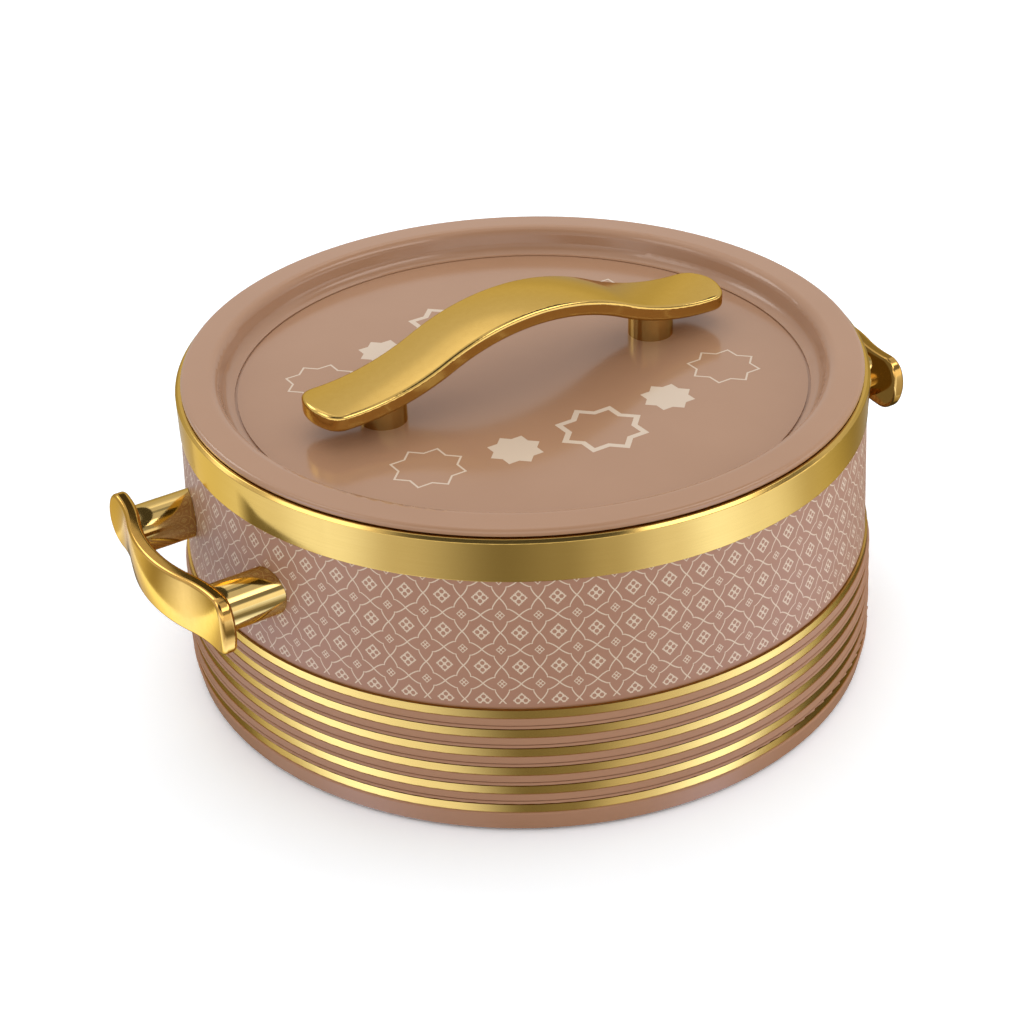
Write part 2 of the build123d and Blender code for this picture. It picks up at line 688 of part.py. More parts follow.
def lid_post(side):
    """Round post between the lid's panel and the bar, with its top cut to the bar's slope."""
    post = lid_post_places()[side] * ring(
        LID_POST_RADIUS, LID_SCREW_SHANK + SCREW_GAP, 0, LID_POST_HEIGHT + LID_POST_RADIUS
    )
    over = above_underside(lid_arcs, LID_BAR_END_WIDTH, LID_BAR_END_WIDTH)
    return (post - Pos(0, 0, lid_crest) * over).solid()


def lid_screws():
    """Screws that hold the lid handle from under the panel."""
    length = LID_WASHER_THICKNESS + LID_PANEL_WALL + LID_POST_HEIGHT + BAR_SCREW_DEPTH - SCREW_GAP
    screw = pan_screw(LID_SCREW_SHANK, LID_SCREW_HEAD, LID_SCREW_HEAD_HEIGHT, length)
    seat = Pos(0, 0, -LID_PANEL_WALL - LID_WASHER_THICKNESS)
    return [place * seat * screw for place in lid_post_places().values()]


def lid_washers():
    """Washers under the lid screws' heads."""
    low = -LID_PANEL_WALL - LID_WASHER_THICKNESS
    washer = ring(LID_WASHER_RADIUS, LID_SCREW_SHANK + SCREW_GAP, low, low + LID_WASHER_THICKNESS)
    return [place * washer.solid() for place in lid_post_places().values()]


nodes = {
    "outer_shell": outer_shell(),
    "printed_sleeve": printed_sleeve(),
    "rim_band": rim_band(),
    "inner_pot": inner_pot(),
    "pot_insulation": pot_insulation(),
    "base_plate": base_plate(),
    "base_screws": base_screws(),
    "rubber_feet": rubber_feet(),
    "side_screws": side_screws(),
    "side_washers": side_washers(),
    "lid_shell": lid_shell(),
    "lid_liner": lid_liner(),
    "lid_insulation": lid_insulation(),
    "lid_seal": lid_seal(),
    "lid_bar": lid_bar(),
    "lid_screws": lid_screws(),
    "lid_washers": lid_washers(),
}
for number, top in enumerate(reversed(ring_tops), 1):
    nodes[f"gold_ring_{number}"] = gold_ring(top)
for side in side_planes:
    nodes[f"{side}_bar"] = side_bar(side)
    for name, end in (("front", -1), ("rear", 1)):
        turned_end = end if side == "right" else -end
        nodes[f"{side}_{name}_post"] = side_post(side, turned_end)
    nodes[f"lid_{side}_post"] = lid_post(side)

os.makedirs("parts", exist_ok=True)
for name, shape in nodes.items():
    solid = Compound(shape) if isinstance(shape, list) else shape
    export_step(solid, f"parts/{name}.step")
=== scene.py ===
# %% [markdown]
# # An insulated casserole dish
# The dish is a round serving pot: a steel pan foamed into a rose-brown moulded shell, with gold bands,
# a printed lattice and three gold handles. Every rigid shape comes from the CAD model, so Blender's part
# of the work is the finishes, the light and the camera. The frame is loaded first, because each later
# cell looks its pieces up by name.

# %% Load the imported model
import math

import bpy
from mathutils import Matrix, Vector


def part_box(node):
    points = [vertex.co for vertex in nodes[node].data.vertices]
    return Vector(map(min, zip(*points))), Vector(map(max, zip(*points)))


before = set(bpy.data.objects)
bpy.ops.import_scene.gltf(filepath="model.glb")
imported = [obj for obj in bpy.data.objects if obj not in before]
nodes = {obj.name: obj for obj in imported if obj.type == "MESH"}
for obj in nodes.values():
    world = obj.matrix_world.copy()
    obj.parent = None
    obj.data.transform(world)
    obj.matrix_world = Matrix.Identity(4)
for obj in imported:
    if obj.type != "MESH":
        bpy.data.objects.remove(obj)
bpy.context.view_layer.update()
MM = 0.001

# %% [markdown]
# ## Camera
# The photograph looks down on the lid from about half a metre above the table, with a longish lens and a
# slight tilt of the horizon. A camera could be placed by eye; here its turn, height angle and distance were
# worked out from the ellipses of the lid, bands and base, because a few numbers fix all of them at once.

# %% Directions of the studio
CAMERA_TURN = math.radians(31.8)
CAMERA_HEIGHT_ANGLE = math.radians(31.66)
CAMERA_TILT = math.radians(1.99)

across = Vector((math.cos(CAMERA_TURN), -math.sin(CAMERA_TURN), 0))
away = Vector((math.sin(CAMERA_TURN), math.cos(CAMERA_TURN), 0))
up = Vector((0, 0, 1))
line_of_sight = math.cos(CAMERA_HEIGHT_ANGLE) * away - math.sin(CAMERA_HEIGHT_ANGLE) * up
picture_up = math.sin(CAMERA_HEIGHT_ANGLE) * away + math.cos(CAMERA_HEIGHT_ANGLE) * up
camera_right = math.cos(CAMERA_TILT) * across - math.sin(CAMERA_TILT) * picture_up
camera_up = math.sin(CAMERA_TILT) * across + math.cos(CAMERA_TILT) * picture_up
print("the camera looks along", [round(v, 3) for v in line_of_sight])

# %% Place the camera
CAMERA_DISTANCE = 855.8 * MM
AIM_ACROSS = -6.2 * MM
AIM_HEIGHT = 54.0 * MM
LENS = 68.9
SENSOR_WIDTH = 36
NEAREST_SEEN = 20 * MM

aim = AIM_ACROSS * across + AIM_HEIGHT * up
turn = Matrix((camera_right, camera_up, -line_of_sight)).transposed()
camera_data = bpy.data.cameras.new("camera")
camera_data.sensor_fit = "HORIZONTAL"
camera_data.sensor_width = SENSOR_WIDTH
camera_data.lens = LENS
camera_data.clip_start = NEAREST_SEEN
camera = bpy.data.objects.new("camera", camera_data)
camera.matrix_world = Matrix.Translation(aim - CAMERA_DISTANCE * line_of_sight) @ turn.to_4x4()
bpy.context.scene.collection.objects.link(camera)
bpy.context.scene.camera = camera
bpy.context.scene.view_settings.view_transform = "Standard"
print("camera at", [round(v, 3) for v in camera.location])

# %% [markdown]
# ## Two small helpers
# Colours are picked as sRGB hex values, but shaders work in linear light, so one function converts them.
# A second one adds a node, sets its properties and fills or links its inputs; with it a material reads as a
# list of steps. Writing each node out with separate link calls gives the same result in five times the lines.

# %% Colour and node helpers
def linear(hex_colour):
    """An sRGB hex value as the linear colour, with alpha, that sockets expect."""
    channels = [int(hex_colour[i : i + 2], 16) / 255 for i in (1, 3, 5)]
    return [c / 12.92 if c <= 0.04045 else ((c + 0.055) / 1.055) ** 2.4 for c in channels] + [1]


def add(tree, kind, inputs=None, **settings):
    """A new node of that kind in the tree; inputs are values or the sockets to link from."""
    node = tree.nodes.new(kind)
    for name, value in settings.items():
        setattr(node, name, value)
    for socket, value in (inputs or {}).items():
        if isinstance(value, bpy.types.NodeSocket):
            tree.links.new(value, node.inputs[socket])
        else:
            node.inputs[socket].default_value = value
    return node


print("white is", linear("#FFFFFF"), "and mid grey is", [round(c, 3) for c in linear("#808080")])

# %% [markdown]
# ## White surround
# The dish stands in a white studio tent. The world is plain white to the eye and in reflections, and a little
# dimmer where it only lights the surfaces, so that colours come out as they are written. A picture of a real
# studio would light it too, but an even white is what a tent gives.

# %% World
AMBIENT = 0.95


def seen_rays(tree):
    """1 for rays from the eye, from a reflection or through glass, 0 for the rays that only carry light."""
    path = add(tree, "ShaderNodeLightPath").outputs
    eye = add(tree, "ShaderNodeMath", {0: path["Is Camera Ray"], 1: path["Is Glossy Ray"]},
              operation="MAXIMUM").outputs[0]
    return add(tree, "ShaderNodeMath", {0: eye, 1: path["Is Transmission Ray"]},
               operation="MAXIMUM").outputs[0]


world = bpy.data.worlds.new("white_surround")
world.use_nodes = True
bpy.context.scene.world = world
tree = world.node_tree
tree.nodes.clear()
level = add(tree, "ShaderNodeMath", {0: seen_rays(tree), 1: 1 - AMBIENT, 2: AMBIENT},
            operation="MULTIPLY_ADD")
surround = add(tree, "ShaderNodeBackground", {"Color": (1, 1, 1, 1), "Strength": level.outputs[0]})
add(tree, "ShaderNodeOutputWorld", {"Surface": surround.outputs[0]})
print("white surround, ambient level", AMBIENT)

# %% [markdown]
# ## Paper floor
# The table is a sheet of white paper with a soft shadow on it. It is a pale diffuse surface that the eye and
# the reflections see about a quarter brighter than it is, so that it comes out white up to the shade next to
# the dish; a gain, unlike an added glow, keeps the dark line where the dish meets the table. It is a little
# cool, against the warm light that the dish itself throws on the paper.

# %% Floor
PAPER = "#F4F4F3"
PAPER_SEEN = [1.19, 1.24, 1.29, 1]
FLOOR_REACH = 6.0

paper = bpy.data.materials.new("white_paper_sweep")
paper.use_nodes = True
tree = paper.node_tree
tree.nodes.clear()
white = add(tree, "ShaderNodeMix", {"Factor": seen_rays(tree), "A": linear(PAPER), "B": PAPER_SEEN},
            data_type="RGBA")
sheet = add(tree, "ShaderNodeBsdfDiffuse", {"Color": white.outputs["Result"]})
add(tree, "ShaderNodeOutputMaterial", {"Surface": sheet.outputs[0]})

floor_mesh = bpy.data.meshes.new("floor")
corners = [(x * FLOOR_REACH, y * FLOOR_REACH, 0) for x, y in ((-1, -1), (1, -1), (1, 1), (-1, 1))]
floor_mesh.from_pydata(corners, [], [(0, 1, 2, 3)])
floor_mesh.materials.append(paper)
floor = bpy.data.objects.new("floor", floor_mesh)
bpy.context.scene.collection.objects.link(floor)
print("floor", 2 * FLOOR_REACH, "m across")

# %% [markdown]
# ## Softboxes
# One wide softbox high behind the dish gives the light a direction: the lid is a little brighter than the
# wall, and the shadow falls forward. A low one on the right makes the wall paler towards that side.
# Most of the light is the white surround, so the shadows stay faint. Places are given from the camera's
# side: metres to the right, away from the camera, and up. A lamp's power follows from its brightness, so
# a larger box stays as bright to look at and only gives a softer shadow.

# %% Lamps
# Each softbox has its place, its width and height, and its brightness.
SOFTBOXES = {
    "softbox_behind": ((-0.30, 0.85, 1.25), (1.30, 0.80), 1.0),
    "softbox_right": ((1.10, 0.10, 0.30), (0.90, 0.60), 1.5),
}
TARGET = 0.1 * up


def studio_place(right, back, height):
    """A point given from the camera's side."""
    return right * across + back * away + height * up


def turned_to(place, target):
    """The matrix of something that stands at that place and faces the target."""
    facing = (target - place).to_track_quat("-Z", "Y")
    return Matrix.Translation(place) @ facing.to_matrix().to_4x4()


for name, (place, size, brightness) in SOFTBOXES.items():
    lamp = bpy.data.lights.new(name, "AREA")
    lamp.shape = "RECTANGLE"
    lamp.size, lamp.size_y = size
    lamp.energy = brightness * math.pi * size[0] * size[1]
    box = bpy.data.objects.new(name, lamp)
    box.matrix_world = turned_to(studio_place(*place), TARGET)
    box.visible_camera = False
    box.visible_glossy = False
    bpy.context.scene.collection.objects.link(box)
print("softboxes:", ", ".join(SOFTBOXES))

# %% [markdown]
# ## A card for the gold to mirror
# Gold only looks like gold when it has something bright and something dark to mirror, so a photographer
# puts cards round it. A plain card gives one flat tone; these are graded along one direction. Studio cards
# stay out of the picture, and here only reflections see them, so that they neither show nor shade the floor.

# %% How a card is made
def only_reflected(card):
    """The card shows in reflections alone."""
    card.visible_camera = False
    card.visible_diffuse = False
    card.visible_transmission = False
    card.visible_volume_scatter = False
    card.visible_shadow = False
    bpy.context.scene.collection.objects.link(card)


def toned_card(name, points, faces, shade, tones, cover=None):
    """A card whose colour follows the tones: shade makes the socket, 0 to 1, that they are laid along.
    Cover makes another one, 0 where the card is clear and 1 where it is solid."""
    material = bpy.data.materials.new(name)
    material.use_nodes = True
    tree = material.node_tree
    tree.nodes.clear()
    axes = add(tree, "ShaderNodeSeparateXYZ", {0: add(tree, "ShaderNodeTexCoord").outputs["Object"]}).outputs
    ramp = add(tree, "ShaderNodeValToRGB", {0: shade(tree, axes)})
    ramp.color_ramp.interpolation = "EASE"
    brightest = max(max(colour) for share, colour in tones)
    while len(ramp.color_ramp.elements) < len(tones):
        ramp.color_ramp.elements.new(0.5)
    for element, (share, colour) in zip(ramp.color_ramp.elements, tones):
        element.position = share
        element.color = [channel / brightest for channel in colour] + [1]
    surface = add(tree, "ShaderNodeEmission", {"Color": ramp.outputs[0], "Strength": brightest}).outputs[0]
    if cover:
        clear = add(tree, "ShaderNodeBsdfTransparent").outputs[0]
        surface = add(tree, "ShaderNodeMixShader", {0: cover(tree, axes), 1: clear, 2: surface}).outputs[0]
    add(tree, "ShaderNodeOutputMaterial", {"Surface": surface})

    mesh = bpy.data.meshes.new(name)
    mesh.from_pydata(points, [], faces)
    mesh.materials.append(material)
    card = bpy.data.objects.new(name, mesh)
    card.matrix_world = Matrix((across, away, up)).transposed().to_4x4()
    only_reflected(card)


# Red, green and blue as shares of a card's level, and how fast each share grows with the level.
CARD_TINT = ((1.0, 0.0), (0.90, 0.14), (0.60, 0.50))


def card_colour(level):
    """Bright parts of a card are a cool white and dark parts warm: bright gold turns pale, dark gold deep."""
    return [level * (share + growth * level) for share, growth in CARD_TINT]


for level in (1.0, 0.1):
    print("a card of level", level, "has the colour", [round(channel, 3) for channel in card_colour(level)])

# %% [markdown]
# ## Cards on the table
# The upright bands mirror the table in front of them, so two ring-shaped cards lie there whose tone changes
# with the direction: dark in front, bright to both sides. One card would be simpler, but the rings and the
# band show their streaks in different places: the gold rings, low on the wall, see the inner card, and the
# rim band and the handles see the outer one. Directions are in degrees: 0 towards the camera, 90 to the
# right.

# %% Tones round the dish
INNER_MIDDLE = 0.2
INNER_CARD = ((0.148, 0.26), [
    (-180, 0.2), (-92, 0.25), (-72, 1.0), (-46, 2.4), (-22, 1.65), (-2, 0.3),
    (8, 0.38), (22, 1.1), (47, 2.5), (66, 0.75), (80, 0.12), (180, 0.2),
])
OUTER_CARD = ((0.26, 2.5), [
    (-180, 0.6), (-140, 0.55), (-112, 0.75), (-95, 1.1), (-83, 0.62), (-64, 2.2),
    (-50, 1.75), (-33, 1.0), (-6, 0.36), (8, 0.5), (20, 0.78), (36, 1.4),
    (49, 1.95), (64, 1.6), (84, 0.9), (113, 0.42), (150, 0.5), (180, 0.6),
])


def direction_round(tree, axes):
    """0 to 1 round the dish, with 0.5 towards the camera."""
    front = add(tree, "ShaderNodeMath", {0: axes[1], 1: -1.0}, operation="MULTIPLY")
    angle = add(tree, "ShaderNodeMath", {0: axes[0], 1: front.outputs[0]}, operation="ARCTAN2")
    return add(tree, "ShaderNodeMath", {0: angle.outputs[0], 1: 1 / math.tau, 2: 0.5},
               operation="MULTIPLY_ADD").outputs[0]


def reach_along_table(tree, axes):
    """The distance from the dish's axis."""
    flat = add(tree, "ShaderNodeCombineXYZ", {0: axes[0], 1: axes[1]})
    return add(tree, "ShaderNodeVectorMath", {0: flat.outputs[0]}, operation="LENGTH").outputs["Value"]


def direction_fanned(tree, axes):
    """The direction, fanned out towards the card's outer edge, so that the streaks lean from ring to ring."""
    inward = add(tree, "ShaderNodeMath", {0: INNER_MIDDLE, 1: reach_along_table(tree, axes)},
                 operation="DIVIDE").outputs[0]
    fan = add(tree, "ShaderNodeMath", {0: inward, 1: inward}, operation="MULTIPLY").outputs[0]
    off_front = add(tree, "ShaderNodeMath", {0: direction_round(tree, axes), 1: 0.5}, operation="SUBTRACT")
    return add(tree, "ShaderNodeMath", {0: off_front.outputs[0], 1: fan, 2: 0.5},
               operation="MULTIPLY_ADD").outputs[0]


print("tones round the dish:", len(INNER_CARD[1]), "inside and", len(OUTER_CARD[1]), "outside")

# %% Lay the cards
STEPS_ROUND = 96
CARD_LIFT = 0.5 * MM

angles = [math.tau * step / STEPS_ROUND for step in range(STEPS_ROUND)]
quads = [(n, (n + 1) % STEPS_ROUND, STEPS_ROUND + (n + 1) % STEPS_ROUND, STEPS_ROUND + n)
         for n in range(STEPS_ROUND)]
for name, (radii, tones), shade in (
    ("card_table_inner", INNER_CARD, direction_fanned),
    ("card_table_outer", OUTER_CARD, direction_round),
):
    points = [(r * math.cos(angle), r * math.sin(angle), CARD_LIFT) for r in radii for angle in angles]
    shares = [(degrees / 360 + 0.5, card_colour(level)) for degrees, level in tones]
    toned_card(name, points, quads, shade, shares)
    print(name, "from", radii[0], "to", radii[1], "m")

# %% [markdown]
# ## Flags by the side handles
# Polished gold shows dark lines as well as bright ones. A photographer gets them with flags, small dark
# cards that stand just out of the picture. One above the left handle draws the dark line along its upper
# edge. A white card below it lights the rim band beside the handle, with a sloping flag that gives the band
# a dark wedge there. Two grey ones darken the right handle. Each shows on one side only, the side from which
# its corners, in millimetres as y and z, run anticlockwise.

# %% Flags
# Each flag has its x in mm, its corners, and its tones along FLAG_ACROSS, metres across the picture.
FLAG_ACROSS = (-0.18, -0.097)
FLAGS = {
    "flag_over_left_handle": (-152.6, [(-50, 113), (-50, 131), (95, 131), (95, 113)],
                              [(0.0, 0.1), (1.0, 0.1)]),
    "card_by_left_handle": (-152, [(-60, 66), (95, 66), (95, 122), (-60, 122)],
                            [(0.0, 1.15), (0.5, 1.2), (0.8, 1.4), (0.95, 1.75)]),
    "flag_by_left_handle": (-151.5, [(-57, 96), (-8, 96), (-8, 116), (-14, 114), (-23, 109), (-43, 103),
                                     (-57, 98.5)],
                            [(0.66, 1.2), (0.73, 0.3), (0.82, 0.3), (0.97, 1.3)]),
    "flag_behind_right_handle": (185, [(-35, 108), (-35, 131), (90, 131), (90, 108)],
                                 [(0.0, 0.45), (1.0, 0.45)]),
    "flag_in_right_handle": (152, [(-60, 70), (70, 70), (70, 131), (-60, 131)], [(0.0, 0.3), (1.0, 0.3)]),
}


def along_flag(tree, axes):
    """0 to 1 across the picture, along the card by the left handle."""
    return add(tree, "ShaderNodeMapRange", {"Value": axes[0], "From Min": FLAG_ACROSS[0],
                                            "From Max": FLAG_ACROSS[1]}).outputs[0]


def front_only(tree, axes):
    """1 on the front of a card and 0 on its reverse."""
    reverse = add(tree, "ShaderNodeNewGeometry").outputs["Backfacing"]
    return add(tree, "ShaderNodeMath", {0: 1.0, 1: reverse}, operation="SUBTRACT").outputs[0]


for name, (x, corners, tones) in FLAGS.items():
    places = [MM * Vector((x, y, z)) for y, z in corners]
    points = [(place.dot(across), place.dot(away), place.z) for place in places]
    shares = [(share, card_colour(level)) for share, level in tones]
    toned_card(name, points, [tuple(range(len(points)))], along_flag, shares, front_only)
print("flags:", ", ".join(FLAGS))

# %% [markdown]
# ## Curved cards
# The handles bend the reflections far more than the bands do, and show the whole studio at once: a graded
# sheet behind, a bright box on the right that draws the thin white line along each edge, and black cards
# overhead that set a dark line beside it. They are patches of a sphere round the dish, so a direction and a
# height in degrees place each of them. Their borders fade out, or a satin bar would show them as facets.

# %% How a curved card fades
BORDER_FADE = 10
ON_TABLE = 1  # a card that starts at this height, in degrees, stands on the table


def height_over_table(tree, axes):
    """0 at the table to 1 overhead."""
    angle = add(tree, "ShaderNodeMath", {0: axes[2], 1: reach_along_table(tree, axes)}, operation="ARCTAN2")
    return add(tree, "ShaderNodeMath", {0: angle.outputs[0], 1: 2 / math.pi}, operation="MULTIPLY").outputs[0]


def border_fade(tree, degrees, first, last):
    """0 at both ends of a range of degrees, rising to 1 over the width of the fade."""
    middle, half = (first + last) / 2, (last - first) / 2
    off = add(tree, "ShaderNodeMath", {0: degrees, 1: middle}, operation="SUBTRACT")
    turned = add(tree, "ShaderNodeMath", {0: off.outputs[0], 1: 180, 2: -180}, operation="WRAP")
    distance = add(tree, "ShaderNodeMath", {0: turned.outputs[0]}, operation="ABSOLUTE").outputs[0]
    return add(tree, "ShaderNodeMapRange", {"Value": distance, "From Min": half,
                                            "From Max": half - BORDER_FADE},
               interpolation_type="SMOOTHSTEP").outputs[0]


def faded_borders(first, last, low, high):
    """The cover of a curved card that fades at its borders, apart from the foot of one on the table."""
    def cover(tree, axes):
        direction = add(tree, "ShaderNodeMath", {0: direction_round(tree, axes), 1: 360, 2: -180},
                        operation="MULTIPLY_ADD").outputs[0]
        height = add(tree, "ShaderNodeMath", {0: height_over_table(tree, axes), 1: 90},
                     operation="MULTIPLY").outputs[0]
        sideways = border_fade(tree, direction, first, last)
        upwards = border_fade(tree, height, low if low > ON_TABLE else -high, high)
        return add(tree, "ShaderNodeMath", {0: sideways, 1: upwards}, operation="MULTIPLY").outputs[0]

    return cover


print("curved cards fade over", BORDER_FADE, "degrees")

# %% Cards around and above
# Each card has its directions, its heights, its nearness as a share of the reach, and its tones by height.
DOME_REACH = 1.6
DOME_STEP = 6
DOME_CARDS = {
    "card_back": ((110, 250), (1, 63), 1.0, [(0.0, 0.6), (0.13, 0.75), (0.27, 0.93), (0.36, 0.94),
                                             (0.48, 1.0), (0.58, 1.4), (0.68, 2.0)]),
    "card_right": ((42, 100), (1, 56), 0.95, [(0.0, 2.0), (0.2, 2.0), (0.27, 0.35), (0.42, 0.35),
                                              (0.47, 4.5)]),
    "card_left": ((-88, -58), (34, 56), 0.95, [(0.0, 3.5), (1.0, 3.5)]),
    "card_left_back": ((-128, -104), (26, 46), 0.9, [(0.0, 5.0), (1.0, 5.0)]),
    "card_front": ((-55, 36), (8, 24), 0.95, [(0.0, 2.4), (1.0, 2.4)]),
    "card_over_front": ((-50, 38), (48, 80), 0.9, [(0.0, 0.1), (1.0, 0.1)]),
    "card_over_right": ((98, 152), (50, 80), 0.9, [(0.0, 0.1), (1.0, 0.1)]),
}


def dome_point(direction, height, reach):
    """The point of the dome in that direction and at that height, both in degrees."""
    turn, rise = math.radians(direction), math.radians(height)
    flat = reach * math.cos(rise)
    return (flat * math.sin(turn), -flat * math.cos(turn), reach * math.sin(rise))


for name, ((first, last), (low, high), nearness, tones) in DOME_CARDS.items():
    first, last, high = first - BORDER_FADE / 2, last + BORDER_FADE / 2, high + BORDER_FADE / 2
    low = low - BORDER_FADE / 2 if low > ON_TABLE else low
    columns = max(2, round((last - first) / DOME_STEP))
    rows = max(2, round((high - low) / DOME_STEP))
    points = [dome_point(first + (last - first) * c / columns, low + (high - low) * r / rows,
                         nearness * DOME_REACH) for r in range(rows + 1) for c in range(columns + 1)]
    starts = [r * (columns + 1) + c for r in range(rows) for c in range(columns)]
    quads = [(n, n + 1, n + columns + 2, n + columns + 1) for n in starts]
    shares = [(share, [level] * 3) for share, level in tones]
    toned_card(name, points, quads, height_over_table, shares, faded_borders(first, last, low, high))
print("curved cards:", ", ".join(DOME_CARDS))

# %% [markdown]
# ## Moulded ABS
# The outer shell and the lid are moulded ABS in a warm rose brown. The shell comes from a fine-grained tool,
# so it is satin and shows its colour with hardly any reflection; the lid, further down, comes from a polished
# one. A flat colour would look like painted card, so the colour drifts a little over tens of millimetres, as
# the melt flows, and a very faint ripple of a few millimetres bends the reflections as moulded walls do.

# %% A new finish
def new_finish(name):
    """An empty material of that name: the material, its node tree and its Principled shader."""
    material = bpy.data.materials.new(name)
    material.use_nodes = True
    tree = material.node_tree
    tree.nodes.clear()
    shader = add(tree, "ShaderNodeBsdfPrincipled")
    add(tree, "ShaderNodeOutputMaterial", {"Surface": shader.outputs[0]})
    return material, tree, shader


def dress(material, *names):
    """Puts the material in every slot of the named nodes."""
    for name in names:
        mesh = nodes[name].data
        if not mesh.materials:
            mesh.materials.append(material)
        for slot in nodes[name].material_slots:
            slot.material = material
    print(material.name, "on", ", ".join(names))


print("nodes to dress:", len(nodes))

# %% Satin ABS
# Sizes are in mm: the streaks of the flow, the ripple with its depth, and the scuffs that vary the gloss.
# Smoother and rougher are how far the scuffs take the roughness down and up.
FLOW_SIZE = 38
RIPPLE_SIZE = 5
RIPPLE_DEPTH = 0.3
RIPPLE_STRENGTH = 0.02
SCUFF_SIZE = 2.2
SMOOTHER, ROUGHER = 0.03, 0.05
ABS_IOR = 1.53


def moulded_abs(name, colours, roughness, reflection):
    """Moulded ABS: the material, its tree, its shader and the socket that carries its colour."""
    material, tree, shader = new_finish(name)
    place = add(tree, "ShaderNodeTexCoord").outputs["Object"]
    flow = add(tree, "ShaderNodeTexNoise", {"Vector": place, "Scale": 1 / (FLOW_SIZE * MM), "Detail": 3})
    tint = add(tree, "ShaderNodeMix", {"Factor": flow.outputs[0], "A": linear(colours[0]),
                                       "B": linear(colours[1])}, data_type="RGBA")
    ripple = add(tree, "ShaderNodeTexNoise", {"Vector": place, "Scale": 1 / (RIPPLE_SIZE * MM), "Detail": 1})
    bump = add(tree, "ShaderNodeBump", {"Height": ripple.outputs[0], "Strength": RIPPLE_STRENGTH,
                                        "Distance": RIPPLE_DEPTH * MM})
    scuffs = add(tree, "ShaderNodeTexNoise", {"Vector": place, "Scale": 1 / (SCUFF_SIZE * MM), "Detail": 4})
    gloss = add(tree, "ShaderNodeMapRange", {"Value": scuffs.outputs[0], "To Min": roughness - SMOOTHER,
                                             "To Max": roughness + ROUGHER})
    colour_socket = tint.outputs["Result"]
    tree.links.new(colour_socket, shader.inputs["Base Color"])
    tree.links.new(gloss.outputs[0], shader.inputs["Roughness"])
    tree.links.new(bump.outputs[0], shader.inputs["Normal"])
    shader.inputs["IOR"].default_value = ABS_IOR
    shader.inputs["Specular IOR Level"].default_value = reflection
    return material, tree, shader, colour_socket


# Satin moulded ABS: an even rose brown whose only highlight is a broad, weak one.
rose_abs = moulded_abs("rose_abs_satin_moulded", ("#AC8267", "#A3795E"), 0.38, 0.08)[0]
dress(rose_abs, "outer_shell")

# %% [markdown]
# ## Lid with printed stars
# The lid is the same ABS with a clear gloss and a pale pad print on its dished panel. The print here is a
# plain traditional eight-pointed star, two squares laid over each other at 45 degrees, in a solid, a
# heavy-outlined and a thin-outlined form. Folding the panel's coordinates to one quarter draws each star in
# all four quarters; drawing every star by itself would take four times the nodes.

# %% Star print
# Each star has its middle, half the side of its squares, and its line's width, in mm.
STARS = [
    ((0, 58), 13.5, 2.4),
    ((37, 52), 8.0, 8.0),
    ((72, 44), 11.0, 0.8),
]
PRINT_CREAM = "#D3BEA8"
PANEL_DEPTH = 11.2 * MM
PANEL_TOLERANCE = 0.4 * MM
PANEL_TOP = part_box("lid_shell")[1][2] - PANEL_DEPTH

# Polished moulded ABS: the panel mirrors the handle softly, and the print lies under the same gloss.
star_abs, tree, shader, colour_socket = moulded_abs(
    "rose_abs_gloss_star_print", ("#AE8669", "#A67E61"), 0.14, 0.32)
place = add(tree, "ShaderNodeTexCoord").outputs["Object"]
folded = add(tree, "ShaderNodeVectorMath", {0: place}, operation="ABSOLUTE").outputs[0]
height = add(tree, "ShaderNodeSeparateXYZ", {0: place}).outputs[2]
on_panel = add(tree, "ShaderNodeMath", {0: height, 1: PANEL_TOP, 2: PANEL_TOLERANCE}, operation="COMPARE")
ink = None
for (x, y), half_side, line in STARS:
    moved = add(tree, "ShaderNodeVectorMath", {0: folded, 1: (x * MM, y * MM, 0)}, operation="SUBTRACT")
    from_middle = add(tree, "ShaderNodeVectorMath", {0: moved.outputs[0]}, operation="ABSOLUTE")
    axes = add(tree, "ShaderNodeSeparateXYZ", {0: from_middle.outputs[0]}).outputs
    square = add(tree, "ShaderNodeMath", {0: axes[0], 1: axes[1]}, operation="MAXIMUM")
    corner = add(tree, "ShaderNodeMath", {0: axes[0], 1: axes[1]}, operation="ADD")
    diamond = add(tree, "ShaderNodeMath", {0: corner.outputs[0], 1: math.sqrt(0.5)}, operation="MULTIPLY")
    star = add(tree, "ShaderNodeMath", {0: square.outputs[0], 1: diamond.outputs[0]}, operation="MINIMUM")
    drawn = add(tree, "ShaderNodeMath", {0: star.outputs[0], 1: (half_side - line / 2) * MM,
                                         2: line / 2 * MM}, operation="COMPARE")
    if ink:
        drawn = add(tree, "ShaderNodeMath", {0: drawn.outputs[0], 1: ink}, operation="MAXIMUM")
    ink = drawn.outputs[0]
printed = add(tree, "ShaderNodeMath", {0: ink, 1: on_panel.outputs[0]}, operation="MULTIPLY")
decorated = add(tree, "ShaderNodeMix", {"Factor": printed.outputs[0], "A": colour_socket,
                                        "B": linear(PRINT_CREAM)}, data_type="RGBA")
tree.links.new(decorated.outputs["Result"], shader.inputs["Base Color"])
dress(star_abs, "lid_shell")

# %% [markdown]
# ## Printed film
# The sleeve round the body is a thin film with a pale trellis: ogee lines that cross between large and
# small florets, a traditional tile and textile pattern. It could be a picture wrapped round the wall; worked
# out from the angle and the height it needs no picture and stays sharp. Both directions are folded to
# one quarter of a repeat, so a single line and two florets make the whole band. Lengths in the pattern are
# shares of a repeat.

# %% Fold the wall to a quarter of a repeat
REPEATS_ROUND = 64
ROW_PITCH = 14.85 * MM
TOP_ROW = 105.8 * MM

